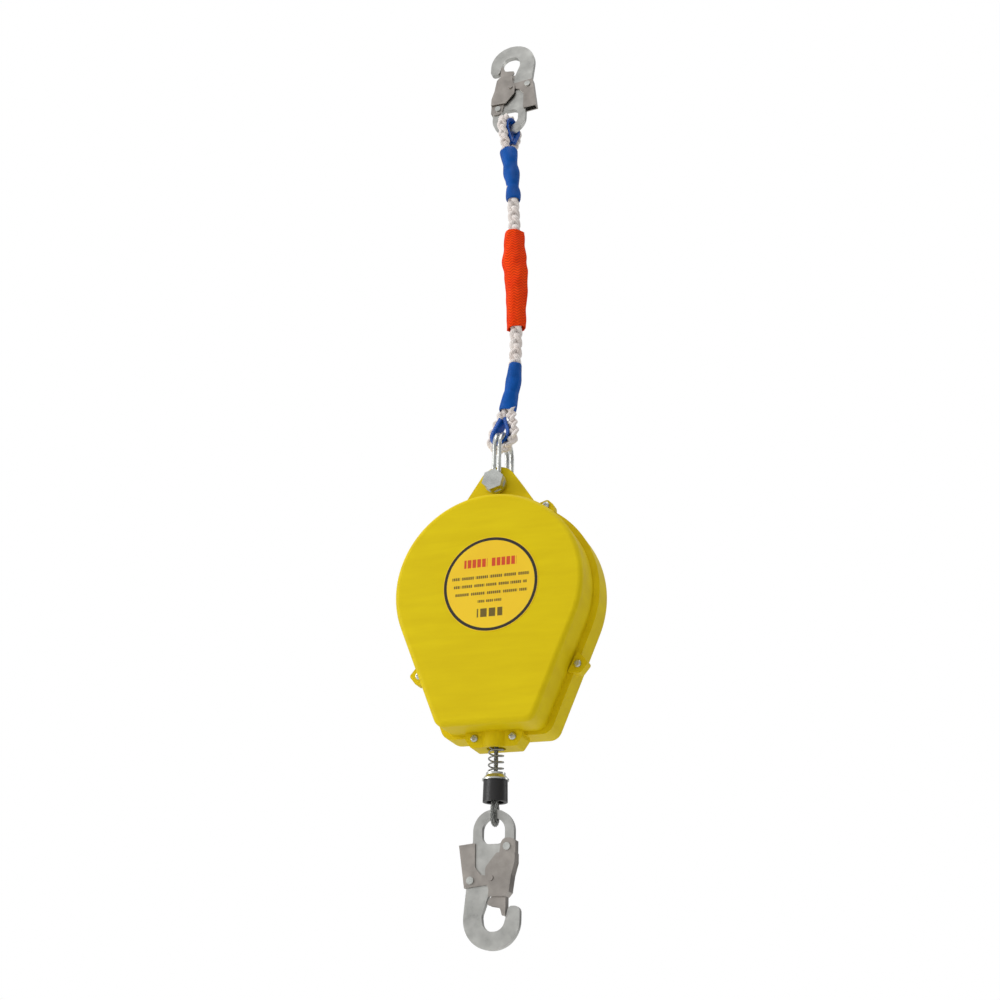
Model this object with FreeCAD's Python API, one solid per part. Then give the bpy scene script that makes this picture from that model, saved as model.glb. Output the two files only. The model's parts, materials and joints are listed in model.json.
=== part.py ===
import FreeCAD, Part
import math
import os

# Self retracting lifeline, hanging on its anchor hook.  Millimetres, +Z up, +X right, +Y to the back.
# The origin is the seat of the anchor hook's bowl, where the anchor bears.

V = FreeCAD.Vector
os.makedirs("parts", exist_ok=True)

# ---------------------------------------------------------------- driving dimensions
# snap hooks, in a local frame: u across, w up, origin at the centre of the eye
HOLE_R = 11.6
PLATE_HALF = 3.0
SHEET = 1.5
INNER_LAYER = 3.2
OUTER_LAYER = 5.0
SEAT_U = 3.3
SEAT_W = -93.0
GATE_PIVOT = (14.2, -15.1)
GATE_STUD = (-0.8, -44.5)
LEVER_PIVOT = (-22.0, -46.2)
RIVET_R = 2.5
RUNNING = 0.05
GATE_OPEN_DEG = 17.0
LEVER_PER_GATE = 0.7

# levels of the chain, from the anchor seat down
HOOK_REACH = math.hypot(SEAT_U, SEAT_W)
TOP_EYE_Z = -HOOK_REACH
HOUSING_Z = TOP_EYE_Z - 615.1
BOLT_RISE = 121.0
BOLT_Z = HOUSING_Z + BOLT_RISE
LOW_LOOP_Z = HOUSING_Z + 185.5
BOTTOM_EYE_Z = HOUSING_Z - 239.5

# rope sling
ROPE_R = 7.0
LOOP_ROPE_R = 5.3
THIMBLE_BASE = 1.5
THIMBLE_FLANGE = 3.0
THIMBLE_HALF = 6.2
TOP_THIMBLE_R = 8.6
LOW_THIMBLE_R = 8.5
LOW_LOOP_TURN_DEG = 20.0
TOP_LOOP_TURN_DEG = 18.0
SLEEVE_WALL = 0.7
UPPER_SPLICE_R = 9.8
LOWER_SPLICE_R = 9.0
ROPE_ROUTE = [(0.0, -146.0), (7.0, -213.0), (11.0, -300.0), (13.5, -395.0), (12.3, -450.0), (5.0, -488.0)]

# shackle link and lug
LINK_WIRE_R = 2.25
LINK_HALF_GAP = 2.8
LINK_FRONT_Y = -18.5
LINK_REAR_Y = 24.0
LINK_CREST_RISE = 1.4
LINK_EYE_R = 11.0
BOLT_R = 7.0
LUG_FRONT_Y = -13.5
LUG_REAR_Y = 20.0
LUG_R = 21.5
LUG_FOOT_X = 46.5
LUG_FOOT_Z = 89.0

# housing
FRONT_Y = -41.0
LEDGE_Y = 0.0
PARTING_Y = 4.0
REAR_Y = 36.0
WALL = 3.0
FRONT_R = 100.5
FRONT_DROP = 143.5
RIM_R = 107.0
RIM_DROP = 147.0
SIDE_SLOPE_DEG = 22.3
NOSE_DROP = 159.0
EAR_SPOTS = [(84.5, -79.0), (-84.5, -79.0), (50.5, 96.0), (-50.5, 96.0)]
NOSE_SCREW_X = 19.8
NOSE_SCREW_Z = -149.5
LABEL_R = 50.5
LABEL_X = 4.2

# drum, cable and mechanism, about the drum shaft
CABLE_R = 2.25
COIL_R = 80.0
RUN_R = 82.3
FLANGE_R = 87.0
HUB_R = 58.0
HUB_BORE_R = 55.0
DRUM_HALF = 19.0
SHAFT_R = 7.0
FRAME_Y = 26.0
FRAME_T = 3.0
BRAKE_HUB_R = 12.0
TEETH = 12
TOOTH_ROOT_R = 24.0
TOOTH_TIP_R = 30.0
TOOTH_PHASE_DEG = 131.6
PAWL_PIVOT_R = 42.0
ROLLER_R = 12.0
ROLLER_Z = -126.0
ROLLER_X = -(ROLLER_R + CABLE_R)

# cable end
GUIDE_END = -149.0
SPRING_R = 7.2
SPRING_WIRE_R = 0.8
SPRING_COILS = 5.5
CAP_TOP = -183.0
BUMPER_TOP = -190.5
BUMPER_END = -211.5
BUMPER_R = 12.0
FERRULE_TOP = -193.5
FERRULE_END = -207.0
WIRE_THIMBLE_R = 4.2
WIRE_THIMBLE_T = 1.0


# ---------------------------------------------------------------- helpers
def rounded_edges(corners, y=0.0):
    """Edges of a closed outline in XZ at depth y; each corner is (x, z, radius)."""
    points = [V(x, y, z) for x, z, _ in corners]
    count = len(points)
    cuts = []
    for i, (_, _, radius) in enumerate(corners):
        here = points[i]
        back = (points[i - 1] - here).normalize()
        ahead = (points[(i + 1) % count] - here).normalize()
        half = math.acos(max(-1.0, min(1.0, back.dot(ahead)))) / 2
        if radius <= 0:
            cuts.append((here, None, here))
            continue
        reach = radius / math.tan(half)
        middle = here + (back + ahead).normalize() * (radius / math.sin(half) - radius)
        cuts.append((here + back * reach, middle, here + ahead * reach))
    edges = []
    for i, (start, middle, end) in enumerate(cuts):
        if middle is not None:
            edges.append(Part.Arc(start, middle, end).toShape())
        following = cuts[(i + 1) % count][0]
        if (following - end).Length > 1e-6:
            edges.append(Part.LineSegment(end, following).toShape())
    return edges


def plate(corners, y0, y1):
    """Flat piece with a rounded outline in XZ, from y0 to y1."""
    face = Part.Face(Part.Wire(rounded_edges(corners, y0)))
    return face.extrude(V(0, y1 - y0, 0))


def rod(x, z, radius, y0, y1):
    return Part.makeCylinder(radius, y1 - y0, V(x, y0, z), V(0, 1, 0))


def ring(x, z, outer, inner, y0, y1):
    return rod(x, z, outer, y0, y1).cut(rod(x, z, inner, y0 - 1, y1 + 1))


def box(x0, x1, y0, y1, z0, z1):
    return Part.makeBox(x1 - x0, y1 - y0, z1 - z0, V(x0, y0, z0))


def fuse(shapes):
    solid = shapes[0]
    for shape in shapes[1:]:
        solid = solid.fuse(shape)
    return solid.removeSplitter()


def sweep(edges, radius):
    """Round tube along tangent edges."""
    path = Part.Wire(edges)
    start = path.Edges[0]
    first = start.FirstParameter
    profile = Part.Wire(Part.Circle(start.valueAt(first), start.tangentAt(first), radius).toShape())
    return path.makePipeShell([profile], True, True)


def route_edges(points, radii=None):
    """Straight runs joined by tangent arcs; an arc takes 0.45 of the shorter run beside it."""
    cuts = [(points[0], None, points[0])]
    for i in range(1, len(points) - 1):
        here = points[i]
        back = points[i - 1] - here
        ahead = points[i + 1] - here
        turn = math.pi - back.getAngle(ahead)
        reach = 0.45 * min(back.Length, ahead.Length)
        radius = reach / math.tan(turn / 2)
        if radii is not None:
            radii.append(radius)
        back.normalize()
        ahead.normalize()
        half = (math.pi - turn) / 2
        middle = here + (back + ahead).normalize() * (radius / math.sin(half) - radius)
        cuts.append((here + back * reach, middle, here + ahead * reach))
    cuts.append((points[-1], None, points[-1]))
    edges = []
    for (start, middle, end), following in zip(cuts, cuts[1:] + [None]):
        if middle is not None:
            edges.append(Part.Arc(start, middle, end).toShape())
        if following is not None:
            edges.append(Part.LineSegment(end, following[0]).toShape())
    return edges


def coil(centre, axis, radius, wire, length, turns):
    """Helical compression spring starting at centre and running along axis."""
    helix = Part.makeHelix(length / turns, length, radius)
    profile = Part.Wire(Part.Circle(V(radius, 0, 0), V(0, 1, 0), wire).toShape())
    solid = Part.Wire(helix).makePipeShell([profile], True, True)
    solid.Placement = FreeCAD.Placement(centre, FreeCAD.Rotation(V(0, 0, 1), axis))
    return solid


def hexagon(across_flats, y0, y1, x=0.0, z=0.0):
    corner = across_flats / math.sqrt(3)
    spots = []
    for i in range(6):
        angle = math.radians(60 * i + 16)
        spots.append((x + corner * math.cos(angle), z + corner * math.sin(angle), 0))
    return plate(spots, y0, y1)


def save(name, shape):
    shape.exportStep("parts/%s.step" % name)
    print("%-24s %10.1f mm3  solids %d  valid %s" % (name, shape.Volume, len(shape.Solids), shape.isValid()))


def in_housing(shape):
    shape.translate(V(0, 0, HOUSING_Z))
    return shape


# ---------------------------------------------------------------- snap hooks
def rivet(u, w, half_length, head_r):
    head = 1.3
    shape = [rod(u, w, RIVET_R, -half_length, half_length)]
    for side in (-1, 1):
        y0 = side * half_length
        shape.append(rod(u, w, head_r, min(y0, y0 + side * head), max(y0, y0 + side * head)))
    return fuse(shape)


def hook_plate():
    outline = [
        (-20.8, 20.8, 20.7), (20.8, 20.8, 20.7), (20.8, -21.8, 6.0), (6.5, -22.4, 5.0), (-3.4, -35.0, 8.0),
        (-3.6, -60.0, 12.0), (-10.4, -79.0, 9.0), (-8.6, -93.0, 9.5), (10.2, -93.0, 11.0),
        (16.4, -69.9, 4.6), (27.5, -69.9, 5.6), (27.5, -109.8, 27.0), (-28.6, -109.8, 28.0),
        (-28.6, -79.0, 30.0), (-26.2, -52.0, 60.0), (-20.8, -10.0, 30.0),
    ]
    body = plate(outline, -PLATE_HALF, PLATE_HALF)
    hole = plate([(-HOLE_R, 12.3, 11.5), (HOLE_R, 12.3, 11.5), (HOLE_R, -12.2, 7.5), (-HOLE_R, -12.2, 7.5)],
                 -PLATE_HALF - 1, PLATE_HALF + 1)
    body = body.cut(hole)
    for spot in (GATE_PIVOT, LEVER_PIVOT):
        body = body.cut(rod(spot[0], spot[1], RIVET_R, -PLATE_HALF - 1, PLATE_HALF + 1))
    return body


def two_cheeks(corners, inner, bores=()):
    shapes = []
    for y0 in (inner, -inner - SHEET):
        cheek = plate(corners, y0, y0 + SHEET)
        for u, w, radius in bores:
            cheek = cheek.cut(rod(u, w, radius, y0 - 1, y0 + SHEET + 1))
        shapes.append(cheek)
    return shapes


def web(points, half_width, thickness):
    """Sheet standing across the cheeks: a strip of the given thickness along points, from -half to +half."""
    return plate(strip(points, thickness), -half_width, half_width)


def strip(points, thickness):
    """Closed outline of a bent strip; points are its one face and thickness goes to the left of it."""
    count = len(points)
    offset = []
    for i in range(count):
        normals = []
        if i > 0:
            normals.append(left_normal(points[i - 1], points[i]))
        if i < count - 1:
            normals.append(left_normal(points[i], points[i + 1]))
        nx = sum(n[0] for n in normals)
        nz = sum(n[1] for n in normals)
        scale = thickness * len(normals) / (nx * nx + nz * nz)
        offset.append((points[i][0] + nx * scale, points[i][1] + nz * scale, 0))
    return [(x, z, 0) for x, z in points] + offset[::-1]


def left_normal(start, end):
    dx = end[0] - start[0]
    dz = end[1] - start[1]
    length = math.hypot(dx, dz)
    return -dz / length, dx / length


def hook_gate():
    pad = [(6.2, -24.0, 0), (9.0, -7.0, 6.0), (22.6, -7.0, 6.0), (22.9, -24.0, 0)]
    bore = [(GATE_PIVOT[0], GATE_PIVOT[1], RIVET_R + RUNNING)]
    main = [
        (4.5, -21.0, 2.0), (-6.4, -34.5, 6.0), (-6.4, -46.0, 5.0), (-2.6, -55.0, 5.0), (-3.2, -61.5, 0.8),
        (13.9, -61.5, 0), (17.4, -57.5, 3.0), (19.6, -42.0, 8.0), (22.9, -30.0, 8.0), (22.9, -21.0, 0),
    ]
    end = [(1.5, -59.5, 0), (-4.0, -66.0, 1.5), (-3.6, -69.4, 2.0), (8.4, -71.4, 4.0), (10.6, -79.0, 1.2),
           (13.9, -79.0, 1.2), (13.9, -59.5, 0)]
    shapes = two_cheeks(pad, INNER_LAYER, bore) + two_cheeks(main, OUTER_LAYER) + two_cheeks(end, INNER_LAYER)
    outer_half = OUTER_LAYER + SHEET
    inner_half = INNER_LAYER + SHEET
    shapes.append(web([(22.9, -9.5), (22.9, -24.0)], inner_half, -SHEET))
    back = [(22.9, -21.0), (22.9, -29.0), (19.6, -42.0), (17.4, -57.5), (13.9, -61.5)]
    shapes.append(web(back, outer_half, -SHEET))
    shapes.append(web([(13.9, -59.5), (13.9, -78.4)], inner_half, -SHEET))
    for y0 in (INNER_LAYER, -outer_half):
        depth = outer_half - INNER_LAYER
        shapes.append(box(6.2, 22.9, y0, y0 + depth, -24.0, -22.0))
        foot = [(1.5, -60.0, 0), (13.9, -60.0, 0), (13.9, -61.5, 0), (-0.1, -61.5, 0)]
        shapes.append(plate(foot, y0, y0 + depth))
        stud = rod(GATE_STUD[0], GATE_STUD[1], 2.0, y0, y0 + depth)
        shapes.append(stud)
    for side in (-1, 1):
        y0 = min(side * outer_half, side * (outer_half + 1.2))
        shapes.append(rod(GATE_STUD[0], GATE_STUD[1], 2.7, y0, y0 + 1.2))
    return fuse(shapes)


def hook_lever():
    cheek = [
        (-34.4, -12.9, 0), (-18.0, -11.1, 1.0), (-17.6, -34.0, 6.0), (-11.5, -41.0, 3.0), (-3.6, -42.3, 1.5),
        (-3.4, -50.4, 1.0), (-28.0, -53.2, 0),
    ]
    bore = [(LEVER_PIVOT[0], LEVER_PIVOT[1], RIVET_R + RUNNING)]
    shapes = two_cheeks(cheek, INNER_LAYER, bore)
    shapes.append(web([(-34.4, -12.9), (-28.0, -53.2)], INNER_LAYER + SHEET, SHEET))
    lever = fuse(shapes)
    # cam notch at the foot: the gate's studs leave along it while the lever is squeezed
    clearance = 0.3
    steps = 16
    for i in range(steps + 1):
        gate = math.radians(GATE_OPEN_DEG * i / steps)
        stud = turned(GATE_STUD, GATE_PIVOT, gate)
        spot = turned(stud, LEVER_PIVOT, -LEVER_PER_GATE * gate)
        lever = lever.cut(rod(spot[0], spot[1], 2.0 + clearance, -8, 8))
    return lever


def turned(point, centre, angle):
    """Turns a point clockwise, as the hook is seen from the front, about centre."""
    du = point[0] - centre[0]
    dw = point[1] - centre[1]
    return (centre[0] + du * math.cos(angle) + dw * math.sin(angle),
            centre[1] - du * math.sin(angle) + dw * math.cos(angle))


def hook_set(prefix, eye_z, angle):
    placement = FreeCAD.Placement(V(0, 0, eye_z), FreeCAD.Rotation(V(0, 1, 0), angle))
    pieces = {
        "hook_plate": hook_plate(),
        "gate": hook_gate(),
        "lock_lever": hook_lever(),
        "hook_rivets": Part.makeCompound([
            rivet(GATE_PIVOT[0], GATE_PIVOT[1], INNER_LAYER + SHEET + 0.1, 3.6),
            rivet(LEVER_PIVOT[0], LEVER_PIVOT[1], INNER_LAYER + SHEET + 0.1, 3.6)]),
        "gate_spring": coil(V(-2.8, 0, -38.0), V(1, 0, 0), 2.2, 0.4, 20.4, 9),
        "lever_spring": coil(V(-31.2, 0, -19.0), V(1, 0, 0), 2.2, 0.4, 8.4, 5),
    }
    for name, shape in pieces.items():
        shape.Placement = placement.multiply(shape.Placement)
        save("%s_%s" % (prefix, name), shape)


TOP_TILT_DEG = math.degrees(math.atan2(SEAT_U, -SEAT_W))
hook_set("anchor", TOP_EYE_Z, 180.0 + TOP_TILT_DEG)
hook_set("harness", BOTTOM_EYE_Z, 0.0)


# ---------------------------------------------------------------- rope sling
def loop_frame(junction, centre, plane):
    """Directions of an eye: ahead from the splice, sideways across the eye, and square to its plane."""
    ahead = (centre - junction).normalize()
    side = ahead.cross(plane).normalize()
    return ahead, side, side.cross(ahead)


def loop_halves(junction, centre, radius, plane):
    """Two edge lists, each from the junction along a tangent leg and round to the far end of the loop."""
    ahead, side, _ = loop_frame(junction, centre, plane)
    lean = math.asin(radius / (centre - junction).Length)
    halves = []
    for sign in (-1, 1):
        outward = side * sign
        touch = centre + (outward * math.cos(lean) - ahead * math.sin(lean)) * radius
        middle_angle = (math.pi / 2 - lean) / 2
        middle = centre + (outward * math.cos(middle_angle) + ahead * math.sin(middle_angle)) * radius
        far = centre + ahead * radius
        halves.append([Part.LineSegment(junction, touch).toShape(), Part.Arc(touch, middle, far).toShape()])
    return halves


def thimble(junction, centre, plane, inner):
    """Grooved liner of an eye: a ring that is open on the side of the splice."""
    ahead, side, square = loop_frame(junction, centre, plane)
    outer = inner + THIMBLE_BASE
    turn = FreeCAD.Rotation(V(0, 0, 1), square)
    body = Part.makeCylinder(outer + THIMBLE_FLANGE, 2 * THIMBLE_HALF)
    groove = Part.makeCylinder(outer + THIMBLE_FLANGE + 1, 2 * THIMBLE_HALF - 2 * THIMBLE_BASE)
    groove = groove.cut(Part.makeCylinder(outer, 2 * THIMBLE_HALF))
    groove.translate(V(0, 0, THIMBLE_BASE))
    body = body.cut(groove).cut(Part.makeCylinder(inner, 2 * THIMBLE_HALF))
    body.translate(V(0, 0, -THIMBLE_HALF))
    body.Placement = FreeCAD.Placement(centre, turn).multiply(body.Placement)
    mouth_half = inner * 0.55
    mouth_depth = 2 * outer
    corner = centre - ahead * mouth_depth - side * mouth_half - square * (2 * THIMBLE_HALF)
    mouth = Part.makeBox(2 * mouth_half, mouth_depth, 4 * THIMBLE_HALF)
    frame = FreeCAD.Matrix(side.x, ahead.x, square.x, corner.x,
                           side.y, ahead.y, square.y, corner.y,
                           side.z, ahead.z, square.z, corner.z, 0, 0, 0, 1)
    return body.cut(mouth.transformGeometry(frame))


top_loop_centre = V(0, 0, TOP_EYE_Z - 15.9)
low_loop_centre = V(0, 0, LOW_LOOP_Z)
top_junction = V(ROPE_ROUTE[0][0], 0, ROPE_ROUTE[0][1])
low_junction = V(ROPE_ROUTE[-1][0], 0, ROPE_ROUTE[-1][1])
radii = []
rope = [sweep(route_edges([V(x, 0, z) for x, z in ROPE_ROUTE], radii), ROPE_R)]
print("rope bend radii", [round(r) for r in radii])
rope.append(Part.makeSphere(ROPE_R, top_junction))
rope.append(Part.makeSphere(ROPE_R, low_junction))
top_rope_r = TOP_THIMBLE_R + THIMBLE_BASE + LOOP_ROPE_R
low_rope_r = LOW_THIMBLE_R + THIMBLE_BASE + LOOP_ROPE_R
top_turn = math.radians(TOP_LOOP_TURN_DEG)
top_plane = V(math.cos(top_turn), -math.sin(top_turn), 0)
low_turn = math.radians(LOW_LOOP_TURN_DEG)
low_plane = V(math.sin(low_turn), math.cos(low_turn), 0)
for half in loop_halves(top_junction, top_loop_centre, top_rope_r, top_plane):
    rope.append(sweep(half, LOOP_ROPE_R))
for half in loop_halves(low_junction, low_loop_centre, low_rope_r, low_plane):
    rope.append(sweep(half, LOOP_ROPE_R))
rope = fuse(rope)
save("sling_rope", rope)
save("upper_thimble", thimble(top_junction, top_loop_centre, top_plane, TOP_THIMBLE_R).cut(rope))
save("lower_thimble", thimble(low_junction, low_loop_centre, low_plane, LOW_THIMBLE_R).cut(rope))


def sleeve(splice_end, rope_end, splice_r):
    """Shrunk sleeve: thick over the splice, down to the rope at its other end."""
    along = rope_end - splice_end
    return Part.makeCone(splice_r, ROPE_R + SLEEVE_WALL, along.Length, splice_end, along).cut(rope)


save("upper_sleeve", sleeve(V(-0.4, 0, -139.6), V(7.0, 0, -213.9), UPPER_SPLICE_R))
save("lower_sleeve", sleeve(V(4.6, 0, -493.0), V(12.9, 0, -435.5), LOWER_SPLICE_R))

# tubular webbing guard: an oval tube that slides on the rope
WEBBING_TOP = V(9.4, 0, -258.0)
WEBBING_END = V(13.2, 0, -389.0)
WEBBING_HALF_X = 15.5
WEBBING_HALF_Y = 10.4
WEBBING_T = 1.6
along = WEBBING_END - WEBBING_TOP
outer_oval = Part.Ellipse(V(0, 0, 0), WEBBING_HALF_X, WEBBING_HALF_Y).toShape()
inner_oval = Part.Ellipse(V(0, 0, 0), WEBBING_HALF_X - WEBBING_T, WEBBING_HALF_Y - WEBBING_T).toShape()
webbing = Part.Face(Part.Wire(outer_oval)).extrude(V(0, 0, along.Length))
webbing = webbing.cut(Part.Face(Part.Wire(inner_oval)).extrude(V(0, 0, along.Length)))
lean = math.degrees(math.atan2(along.x, -along.z))
webbing.Placement = FreeCAD.Placement(WEBBING_END, FreeCAD.Rotation(V(0, 1, 0), -lean))
save("webbing_guard", webbing)

# ---------------------------------------------------------------- shackle link, bolt and nut
arch_r = (LINK_REAR_Y - LINK_FRONT_Y) / 2
arch_y = (LINK_REAR_Y + LINK_FRONT_Y) / 2
crest_z = LOW_LOOP_Z + LINK_CREST_RISE
arch_z = crest_z - arch_r
link = []
for side in (-1, 1):
    x = side * LINK_HALF_GAP
    edges = [
        Part.LineSegment(V(x, LINK_FRONT_Y, BOLT_Z + 8), V(x, LINK_FRONT_Y, arch_z)).toShape(),
        Part.Arc(V(x, LINK_FRONT_Y, arch_z), V(x, arch_y, crest_z), V(x, LINK_REAR_Y, arch_z)).toShape(),
        Part.LineSegment(V(x, LINK_REAR_Y, arch_z), V(x, LINK_REAR_Y, BOLT_Z + 8)).toShape(),
    ]
    link.append(sweep(edges, LINK_WIRE_R))
for y in (LINK_FRONT_Y, LINK_REAR_Y):
    link.append(rod(0, BOLT_Z, LINK_EYE_R, y - LINK_WIRE_R, y + LINK_WIRE_R))
link = fuse(link).cut(rod(0, BOLT_Z, BOLT_R, -30, 30))
save("shackle_link", link)

washer_t = 1.5
head_t = 9.0
nut_t = 6.8
head_y = LINK_FRONT_Y - LINK_WIRE_R - washer_t
nut_y = LINK_REAR_Y + LINK_WIRE_R + washer_t
washers = [ring(0, BOLT_Z, 11.5, BOLT_R, y, y + washer_t) for y in (head_y, nut_y - washer_t)]
save("bolt_washers", Part.makeCompound(washers))
bolt = fuse([rod(0, BOLT_Z, BOLT_R, head_y, nut_y + nut_t + 1.2),
             hexagon(21.0, head_y - head_t, head_y, 0, BOLT_Z)])
save("lug_bolt", bolt)
nut = hexagon(21.0, nut_y, nut_y + nut_t, 0, BOLT_Z)
save("lug_nut", nut.cut(rod(0, BOLT_Z, BOLT_R, nut_y - 1, nut_y + nut_t + 1)))



# ---------------------------------------------------------------- housing shells (local to the drum shaft)
def case_outline(radius, drop, corner, y):
    """Round top, straight tapering sides, flat bottom with rounded corners."""
    slope = math.radians(SIDE_SLOPE_DEG)
    right = V(radius * math.cos(slope), y, -radius * math.sin(slope))
    left = V(-right.x, y, right.z)
    foot_x = (radius - drop * math.sin(slope)) / math.cos(slope)
    reach = corner * math.tan((math.pi / 2 - slope) / 2)
    side = V(-math.sin(slope), 0, -math.cos(slope))
    foot = V(foot_x, y, -drop)
    inward = V(-1, 0, 0)
    on_side = foot - side * reach
    on_bottom = foot + inward * reach
    half = (math.pi / 2 + slope) / 2
    middle = foot + (inward - side).normalize() * (corner / math.sin(half) - corner)

    def flip(p):
        return V(-p.x, p.y, p.z)

    edges = [
        Part.Arc(right, V(0, y, radius), left).toShape(),
        Part.LineSegment(left, flip(on_side)).toShape(),
        Part.Arc(flip(on_side), flip(middle), flip(on_bottom)).toShape(),
        Part.LineSegment(flip(on_bottom), on_bottom).toShape(),
        Part.Arc(on_bottom, middle, on_side).toShape(),
        Part.LineSegment(on_side, right).toShape(),
    ]
    return Part.Face(Part.Wire(edges))


def case_block(radius, drop, corner, y0, y1):
    return case_outline(radius, drop, corner, y0).extrude(V(0, y1 - y0, 0))


def soften(solid, y, radius):
    """Rounds the edges that lie in the plane y."""
    edges = [e for e in solid.Edges if abs(e.BoundBox.YMin - y) < 1e-4 and abs(e.BoundBox.YMax - y) < 1e-4]
    return solid.makeFillet(radius, edges)


def lug_block(radius, foot_x, foot_z, y0, y1):
    centre_z = BOLT_RISE
    distance = math.hypot(foot_x, centre_z - foot_z)
    to_centre = math.atan2(centre_z - foot_z, -foot_x)
    direction = to_centre - math.asin(radius / distance)
    length = math.sqrt(distance * distance - radius * radius)
    touch_x = foot_x + length * math.cos(direction)
    touch_z = foot_z + length * math.sin(direction)
    left = V(touch_x, y0, touch_z)
    right = V(-touch_x, y0, touch_z)
    edges = [
        Part.LineSegment(V(foot_x, y0, foot_z), left).toShape(),
        Part.Arc(left, V(0, y0, centre_z + radius), right).toShape(),
        Part.LineSegment(right, V(-foot_x, y0, foot_z)).toShape(),
        Part.LineSegment(V(-foot_x, y0, foot_z), V(foot_x, y0, foot_z)).toShape(),
    ]
    return Part.Face(Part.Wire(edges)).extrude(V(0, y1 - y0, 0))


def ear(x, z, y0, y1):
    """Three-cornered screw pad on the rim; the lower ones point up along the side of the case."""
    side = 1 if x > 0 else -1
    if z < 0:
        corners = [(0.5, 13.5, 1.5), (11.0, 0.5, 3.0), (3.0, -9.5, 4.0), (-11.0, -8.0, 1.5)]
    else:
        corners = [(-13.0, 2.0, 2.0), (1.8, 6.8, 4.0), (8.2, 0.5, 4.0), (9.0, -8.0, 2.0), (-8.0, -10.0, 2.0)]
    outline = [(x + side * u, z + w, radius) for u, w, radius in corners]
    return plate(outline[::side], y0, y1)


def nose(y0, y1):
    corners = [(-30.0, -138.0, 0), (30.0, -138.0, 0), (29.5, -150.5, 4.0), (23.5, -NOSE_DROP, 3.0),
               (-23.5, -NOSE_DROP, 3.0), (-29.5, -150.5, 4.0)]
    boss = Part.makeCylinder(BOSS_R, NOSE_DROP - 138.0, V(0, 0, -NOSE_DROP))
    return plate(corners, y0, y1).fuse(boss.common(box(-BOSS_R, BOSS_R, min(y0, -BOSS_R), y1, -200, 0)))


def drill_down(radius, z0, z1):
    return Part.makeCylinder(radius, z1 - z0, V(0, 0, z0))


EAR_Y = LEDGE_Y - 3.0
NOSE_Y = LEDGE_Y - 9.0
NOSE_REAR_Y = PARTING_Y + 12.0
BOSS_R = 14.5
GUIDE_R = 5.0
RECESS_R = 9.6
RECESS_ROOF = GUIDE_END - 0.5
SCREW_R = 1.9
LUG_CAVITY = 9.3
REAR_EAR_T = 5.0


def finish_shell(solid):
    """Openings that both shells share: lug hollow, bush seats, cable outlet and screw holes."""
    inner_foot = LUG_FOOT_X - WALL - 1
    solid = solid.cut(lug_block(LUG_R - WALL, inner_foot, LUG_FOOT_Z - 6, -LUG_CAVITY, LUG_REAR_Y - WALL))
    solid = solid.cut(rod(0, BOLT_RISE, 10.0, LUG_FRONT_Y - 1, LUG_REAR_Y + 1))
    solid = solid.cut(drill_down(GUIDE_R, RECESS_ROOF, -130.0))
    solid = solid.cut(drill_down(RECESS_R, -NOSE_DROP - 1, RECESS_ROOF))
    spots = EAR_SPOTS + [(-NOSE_SCREW_X, NOSE_SCREW_Z), (NOSE_SCREW_X, NOSE_SCREW_Z)]
    for x, z in spots:
        solid = solid.cut(rod(x, z, SCREW_R, NOSE_Y - 2, PARTING_Y + 11.0))
    return solid


front = case_block(FRONT_R, FRONT_DROP, 12.0, FRONT_Y, PARTING_Y)
front = soften(front, FRONT_Y, 5.5)
front = front.fuse(case_block(RIM_R, RIM_DROP, 13.0, LEDGE_Y, PARTING_Y))
front = front.fuse(lug_block(LUG_R, LUG_FOOT_X, LUG_FOOT_Z, LUG_FRONT_Y, PARTING_Y))
for x, z in EAR_SPOTS:
    front = front.fuse(ear(x, z, EAR_Y, PARTING_Y))
front = front.fuse(nose(NOSE_Y, PARTING_Y).common(box(-60, 60, -60, PARTING_Y, -200, 0)))
front = front.cut(case_block(FRONT_R - WALL, FRONT_DROP - WALL, 10.0, FRONT_Y + WALL, PARTING_Y + 1))
front = finish_shell(front).removeSplitter()
save("front_shell", in_housing(front.copy()))

rear = case_block(RIM_R, RIM_DROP, 13.0, PARTING_Y, REAR_Y)
rear = soften(rear, REAR_Y, 8.0)
rear = rear.fuse(lug_block(LUG_R, LUG_FOOT_X, LUG_FOOT_Z, PARTING_Y, LUG_REAR_Y))
for x, z in EAR_SPOTS:
    rear = rear.fuse(ear(x, z, PARTING_Y, PARTING_Y + REAR_EAR_T))
rear = rear.fuse(nose(PARTING_Y, NOSE_REAR_Y).common(box(-60, 60, PARTING_Y, 60, -200, 0)))
rear = rear.cut(case_block(RIM_R - WALL, RIM_DROP - WALL, 11.0, PARTING_Y - 1, REAR_Y - WALL))
for x, z in EAR_SPOTS:
    rear = rear.fuse(ring(x, z, 5.0, SCREW_R, PARTING_Y, PARTING_Y + REAR_EAR_T))
rear = finish_shell(rear).removeSplitter()
save("rear_shell", in_housing(rear.copy()))

label = rod(LABEL_X, 0, LABEL_R, FRONT_Y - 0.3, FRONT_Y)
save("label_disc", in_housing(label))


def pan_screw(x, z, seat_y, length):
    head = rod(x, z, 3.9, seat_y - 2.4, seat_y)
    head = soften(head, seat_y - 2.4, 1.4)
    cross = box(x - 2.2, x + 2.2, seat_y - 3, seat_y - 1.2, z - 0.5, z + 0.5)
    cross = cross.fuse(box(x - 0.5, x + 0.5, seat_y - 3, seat_y - 1.2, z - 2.2, z + 2.2))
    return head.fuse(rod(x, z, SCREW_R, seat_y, seat_y + length)).cut(cross)


screws = [pan_screw(x, z, EAR_Y, 11.5) for x, z in EAR_SPOTS]
screws += [pan_screw(side * NOSE_SCREW_X, NOSE_SCREW_Z, NOSE_Y, 22.0) for side in (-1, 1)]
save("housing_screws", in_housing(Part.makeCompound(screws)))

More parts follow.
